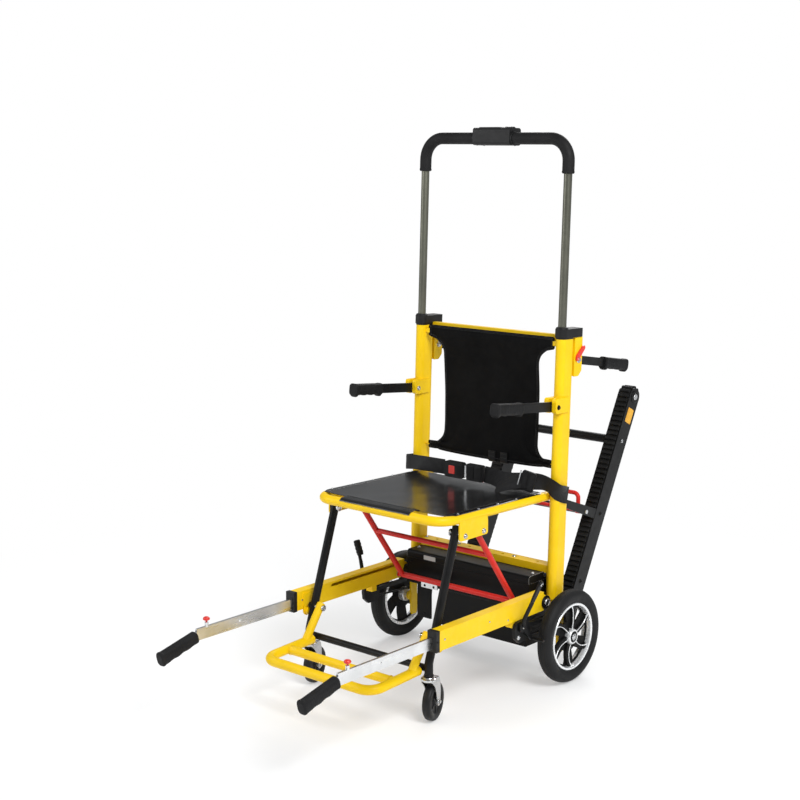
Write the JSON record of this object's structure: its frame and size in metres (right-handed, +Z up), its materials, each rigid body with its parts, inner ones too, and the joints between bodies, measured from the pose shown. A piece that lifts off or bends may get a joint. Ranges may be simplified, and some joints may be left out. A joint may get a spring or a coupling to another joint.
{
  "type": "stair chair",
  "caption": "Folding stair evacuation chair: yellow frame with a seat, footrest, fold-out carry handles, extendable carry bars, push handle, casters, rear wheels and a powered rear track.",
  "frame": {"origin": "bottom centre of the bounding box in the rest pose: on the floor, on the middle plane between the wheels, 245.5 mm in front of the rear axle’s floor point", "axes": "+X towards the sitter’s left, +Y rearwards towards the tracks, +Z up; the chair faces -Y"},
  "size_m": [0.6616, 1.4489, 1.4734],
  "materials": {
    "yellow_paint": "safety yellow powder coat, semi-gloss with a faint orange-peel texture",
    "black_paint": "satin black powder coat",
    "red_paint": "signal red powder coat, semi-gloss",
    "bar_alloy": "bright aluminium bar, lightly brushed along its length",
    "handle_alloy": "grey anodised tube, semi-gloss",
    "wheel_alloy": "bright silver rim and spokes",
    "motor_alloy": "cast housing, matt",
    "steel": "bright plated steel",
    "grip_rubber": "matt moulded rubber, fine grain",
    "tyre_rubber": "matt black solid rubber with fine circumferential ribs",
    "caster_rubber": "satin black rubber tread on a black core",
    "track_rubber": "matt black lugged rubber",
    "black_plastic": "satin black moulded plastic",
    "red_plastic": "glossy red moulded plastic",
    "back_fabric": "black coated woven fabric",
    "seat_vinyl": "glossy black vinyl-coated sheet",
    "webbing": "black woven webbing"
  },
  "bodies": {
    "frame": {"upright_left": "yellow_paint", "upright_right": "yellow_paint", "upright_cap_left": "black_plastic", "upright_cap_right": "black_plastic", "back_crossbar": "yellow_paint", "lower_frame": "yellow_paint", "drive_box": "black_paint", "drive_box_lid": "black_paint", "drive_motor": "motor_alloy", "battery_pack": "black_plastic", "backrest": "back_fabric", "brake_body_left": "black_paint", "brake_body_right": "black_paint", "lap_belt_left": "webbing", "lap_belt_right": "webbing", "belt_buckle": "black_plastic"},
    "belt_release": {"buckle_button": "red_plastic"},
    "push_handle": {"handle_tube": "handle_alloy", "handle_grip": "grip_rubber", "control_box": "black_plastic"},
    "switch": {"control_switch": "black_plastic"},
    "seat": {"seat_frame": "yellow_paint", "seat_sheet": "seat_vinyl"},
    "rails": {"rail_left": "yellow_paint", "rail_right": "yellow_paint", "rail_collar_left": "black_plastic", "rail_collar_right": "black_plastic"},
    "legs": {"leg_frame": "black_paint"},
    "brace": {"brace_frame": "red_paint"},
    "footrest": {"footrest": "yellow_paint"},
    "track": {"track_frame": "black_paint", "track_belt_left": "track_rubber", "track_belt_right": "track_rubber"},
    "drive_roller": {"drive_shaft": "steel"},
    "idler_roller": {"idler_shaft": "steel"},
    "release_bar": {"track_release": "red_paint"},
    "front_handle_left": {"front_handle_bar_left": "black_paint", "front_handle_grip_left": "grip_rubber"},
    "rear_handle_left": {"rear_handle_left": "grip_rubber"},
    "latch_left": {"handle_latch_left": "red_plastic"},
    "carry_left": {"carry_bar_left": "bar_alloy", "carry_grip_left": "grip_rubber"},
    "knob_left": {"lock_knob_left": "red_plastic"},
    "caster_fork_left": {"caster_fork_left": "steel"},
    "caster_wheel_left": {"caster_wheel_left": "caster_rubber"},
    "rear_wheel_left": {"rear_wheel_left": "wheel_alloy", "rear_tyre_left": "tyre_rubber"},
    "brake_lever_left": {"brake_lever_left": "black_paint"},
    "front_handle_right": {"front_handle_bar_right": "black_paint", "front_handle_grip_right": "grip_rubber"},
    "rear_handle_right": {"rear_handle_right": "grip_rubber"},
    "latch_right": {"handle_latch_right": "red_plastic"},
    "carry_right": {"carry_bar_right": "bar_alloy", "carry_grip_right": "grip_rubber"},
    "knob_right": {"lock_knob_right": "red_plastic"},
    "caster_fork_right": {"caster_fork_right": "steel"},
    "caster_wheel_right": {"caster_wheel_right": "caster_rubber"},
    "rear_wheel_right": {"rear_wheel_right": "wheel_alloy", "rear_tyre_right": "tyre_rubber"},
    "brake_lever_right": {"brake_lever_right": "black_paint"}
  },
  "joints": [
    {"name": "seat_fold", "type": "hinge", "parent": "frame", "child": "seat", "pos_m": [0, 0.27553, 0.497], "axis": [-1, 0, 0], "range_deg": [0, 63], "deforming": ["lap_belt_left", "lap_belt_right", "belt_buckle", "buckle_button"]},
    {"name": "rail_fold", "type": "hinge", "parent": "frame", "child": "rails", "pos_m": [0, 0.18753, 0.227], "axis": [-1, 0, 0], "range_deg": [0, 63]},
    {"name": "leg_fold", "type": "hinge", "parent": "seat", "child": "legs", "pos_m": [0, -0.13147, 0.47], "axis": [-1, 0, 0], "range_deg": [-63, 0]},
    {"name": "brace_fold", "type": "hinge", "parent": "seat", "child": "brace", "pos_m": [0, -0.03947, 0.461], "axis": [1, 0, 0], "range_deg": [0, 19.5]},
    {"name": "footrest_fold", "type": "hinge", "parent": "legs", "child": "footrest", "pos_m": [0, -0.21747, 0.217], "axis": [-1, 0, 0], "range_deg": [0, 95]},
    {"name": "caster_swivel_left", "type": "hinge", "parent": "legs", "child": "caster_fork_left", "pos_m": [0.207, -0.23347, 0], "axis": [0, 0, 1], "continuous": true},
    {"name": "caster_spin_left", "type": "hinge", "parent": "caster_fork_left", "child": "caster_wheel_left", "pos_m": [0.19881, -0.20669, 0.05], "axis": [0.9563, 0.2924, 0], "continuous": true},
    {"name": "caster_swivel_right", "type": "hinge", "parent": "legs", "child": "caster_fork_right", "pos_m": [-0.207, -0.23347, 0], "axis": [0, 0, 1], "continuous": true},
    {"name": "caster_spin_right", "type": "hinge", "parent": "caster_fork_right", "child": "caster_wheel_right", "pos_m": [-0.21519, -0.20669, 0.05], "axis": [0.9563, 0.2924, 0], "continuous": true},
    {"name": "rear_wheel_spin_left", "type": "hinge", "parent": "frame", "child": "rear_wheel_left", "pos_m": [0.2955, 0.24553, 0.127], "axis": [1, 0, 0], "continuous": true},
    {"name": "rear_wheel_spin_right", "type": "hinge", "parent": "frame", "child": "rear_wheel_right", "pos_m": [-0.2955, 0.24553, 0.127], "axis": [1, 0, 0], "continuous": true},
    {"name": "brake_left", "type": "hinge", "parent": "frame", "child": "brake_lever_left", "pos_m": [0.27, 0.06753, 0.19], "axis": [1, 0, 0], "range_deg": [0, 25]},
    {"name": "brake_right", "type": "hinge", "parent": "frame", "child": "brake_lever_right", "pos_m": [-0.27, 0.06753, 0.19], "axis": [1, 0, 0], "range_deg": [0, 25]},
    {"name": "handle_slide", "type": "slide", "parent": "frame", "child": "push_handle", "axis": [0, 0.0355, 0.9994], "range_m": [-0.38, 0]},
    {"name": "control_rocker", "type": "hinge", "parent": "push_handle", "child": "switch", "pos_m": [0.05, 0.28604, 1.46708], "axis": [0, 0.9994, -0.0355], "range_deg": [-10, 10]},
    {"name": "front_handle_fold_left", "type": "hinge", "parent": "frame", "child": "front_handle_left", "pos_m": [0.241, 0.23043, 0.7461], "axis": [1, 0, 0], "range_deg": [0, 85]},
    {"name": "front_handle_fold_right", "type": "hinge", "parent": "frame", "child": "front_handle_right", "pos_m": [-0.241, 0.23043, 0.7461], "axis": [1, 0, 0], "range_deg": [0, 85]},
    {"name": "rear_handle_fold_left", "type": "hinge", "parent": "frame", "child": "rear_handle_left", "pos_m": [0.241, 0.3256, 0.86199], "axis": [-1, 0, 0], "range_deg": [0, 78]},
    {"name": "rear_handle_fold_right", "type": "hinge", "parent": "frame", "child": "rear_handle_right", "pos_m": [-0.241, 0.3256, 0.86199], "axis": [-1, 0, 0], "range_deg": [0, 78]},
    {"name": "latch_left_turn", "type": "hinge", "parent": "frame", "child": "latch_left", "pos_m": [0.259, 0.31479, 0.86768], "axis": [-1, 0, 0], "range_deg": [-20, 25]},
    {"name": "latch_right_turn", "type": "hinge", "parent": "frame", "child": "latch_right", "pos_m": [-0.259, 0.31479, 0.86768], "axis": [-1, 0, 0], "range_deg": [-20, 25]},
    {"name": "carry_slide_left", "type": "slide", "parent": "rails", "child": "carry_left", "axis": [0, 1, 0], "range_m": [0, 0.255]},
    {"name": "knob_pull_left", "type": "slide", "parent": "carry_left", "child": "knob_left", "axis": [0, 0, 1], "range_m": [0, 0.006]},
    {"name": "carry_slide_right", "type": "slide", "parent": "rails", "child": "carry_right", "axis": [0, 1, 0], "range_m": [0, 0.255]},
    {"name": "knob_pull_right", "type": "slide", "parent": "carry_right", "child": "knob_right", "axis": [0, 0, 1], "range_m": [0, 0.006]},
    {"name": "buckle_press", "type": "slide", "parent": "frame", "child": "belt_release", "axis": [0, 1, 0], "range_m": [0, 0.003]},
    {"name": "track_fold", "type": "hinge", "parent": "frame", "child": "track", "pos_m": [0, 0.39253, 0.127], "axis": [1, 0, 0], "range_deg": [0, 22]},
    {"name": "release_turn", "type": "hinge", "parent": "track", "child": "release_bar", "pos_m": [0, 0.46053, 0.412], "axis": [1, 0, 0], "range_deg": [-20, 20]},
    {"name": "drive_spin", "type": "hinge", "parent": "track", "child": "drive_roller", "pos_m": [0, 0.39253, 0.127], "axis": [1, 0, 0], "continuous": true},
    {"name": "idler_spin", "type": "hinge", "parent": "track", "child": "idler_roller", "pos_m": [0, 0.69498, 0.70799], "axis": [1, 0, 0], "continuous": true}
  ],
  "couplings": [
    {"joint": "rail_fold", "follows": "seat_fold", "ratio": 1},
    {"joint": "leg_fold", "follows": "seat_fold", "ratio": -1},
    {"joint": "brace_fold", "follows": "seat_fold", "ratio": 0.3},
    {"joint": "idler_spin", "follows": "drive_spin", "ratio": 1}
  ]
}
